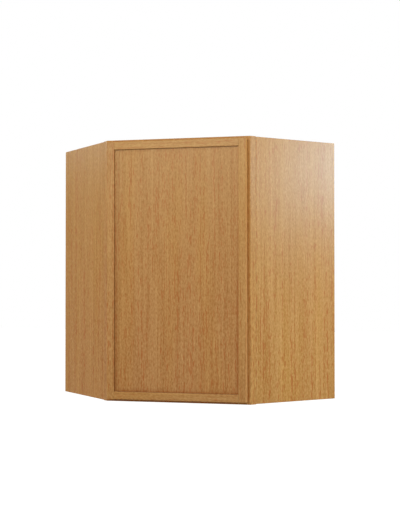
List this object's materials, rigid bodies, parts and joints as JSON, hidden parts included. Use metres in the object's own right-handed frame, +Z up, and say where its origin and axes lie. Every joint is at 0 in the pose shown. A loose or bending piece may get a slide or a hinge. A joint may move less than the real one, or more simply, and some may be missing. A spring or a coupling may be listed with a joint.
{
  "type": "diagonal corner wall cabinet",
  "caption": "Five-sided wall cabinet for a room corner, with a face frame across the diagonal front and a narrow-framed recessed-panel door on concealed hinges over loose shelves.",
  "frame": {"origin": "middle of the overall footprint, level with the underside of the face frame", "axes": "+X to the right seen from the front, +Y from the door towards the room corner, +Z up; the door faces -Y and the two walls lie at 45 degrees to +Y"},
  "size_m": [0.8546, 0.6638, 0.762],
  "materials": {
    "frame_oak": "satin clear varnish, straight vertical grain on the stiles and level grain on the rails",
    "door_oak": "satin clear varnish, straight grain with fine reddish streaks",
    "side_oak": "satin clear varnish on oak-faced plywood, vertical grain",
    "box_plywood": "clear-coated pale plywood",
    "shelf_plywood": "clear-coated pale plywood with a banded front edge",
    "zinc_steel": "nickel-plated steel",
    "bumper_rubber": "translucent soft plastic"
  },
  "bodies": {
    "cabinet": {"bottom_panel": "box_plywood", "frame_bottom_rail": "frame_oak", "frame_left_stile": "frame_oak", "frame_right_stile": "frame_oak", "frame_top_rail": "frame_oak", "left_back_panel": "box_plywood", "left_bottom_hanging_rail": "box_plywood", "left_side_panel": "side_oak", "left_top_hanging_rail": "box_plywood", "lower_hinge_arm": "zinc_steel", "lower_hinge_arm_screw": "zinc_steel", "lower_hinge_lower_plate_screw": "zinc_steel", "lower_hinge_plate": "zinc_steel", "lower_hinge_upper_plate_screw": "zinc_steel", "lower_shelf": "shelf_plywood", "lower_shelf_pin_left_corner": "zinc_steel", "lower_shelf_pin_left_front": "zinc_steel", "lower_shelf_pin_left_rear": "zinc_steel", "lower_shelf_pin_right_corner": "zinc_steel", "lower_shelf_pin_right_front": "zinc_steel", "lower_shelf_pin_right_rear": "zinc_steel", "right_back_panel": "box_plywood", "right_bottom_hanging_rail": "box_plywood", "right_side_panel": "side_oak", "right_top_hanging_rail": "box_plywood", "top_panel": "box_plywood", "upper_hinge_arm": "zinc_steel", "upper_hinge_arm_screw": "zinc_steel", "upper_hinge_lower_plate_screw": "zinc_steel", "upper_hinge_plate": "zinc_steel", "upper_hinge_upper_plate_screw": "zinc_steel", "upper_shelf": "shelf_plywood", "upper_shelf_pin_left_corner": "zinc_steel", "upper_shelf_pin_left_front": "zinc_steel", "upper_shelf_pin_left_rear": "zinc_steel", "upper_shelf_pin_right_corner": "zinc_steel", "upper_shelf_pin_right_front": "zinc_steel", "upper_shelf_pin_right_rear": "zinc_steel"},
    "door": {"door_bottom_rail": "door_oak", "door_centre_panel": "door_oak", "door_hinge_stile": "door_oak", "door_latch_stile": "door_oak", "door_lower_bumper": "bumper_rubber", "door_top_rail": "door_oak", "door_upper_bumper": "bumper_rubber", "lower_hinge_cup": "zinc_steel", "lower_hinge_lower_cup_screw": "zinc_steel", "lower_hinge_pin": "zinc_steel", "lower_hinge_upper_cup_screw": "zinc_steel", "upper_hinge_cup": "zinc_steel", "upper_hinge_lower_cup_screw": "zinc_steel", "upper_hinge_pin": "zinc_steel", "upper_hinge_upper_cup_screw": "zinc_steel"}
  },
  "joints": [
    {"name": "door_hinge", "type": "hinge", "parent": "cabinet", "child": "door", "pos_m": [-0.19881, -0.32004, 0.381], "axis": [0, 0, -1], "range_deg": [0, 105]}
  ]
}
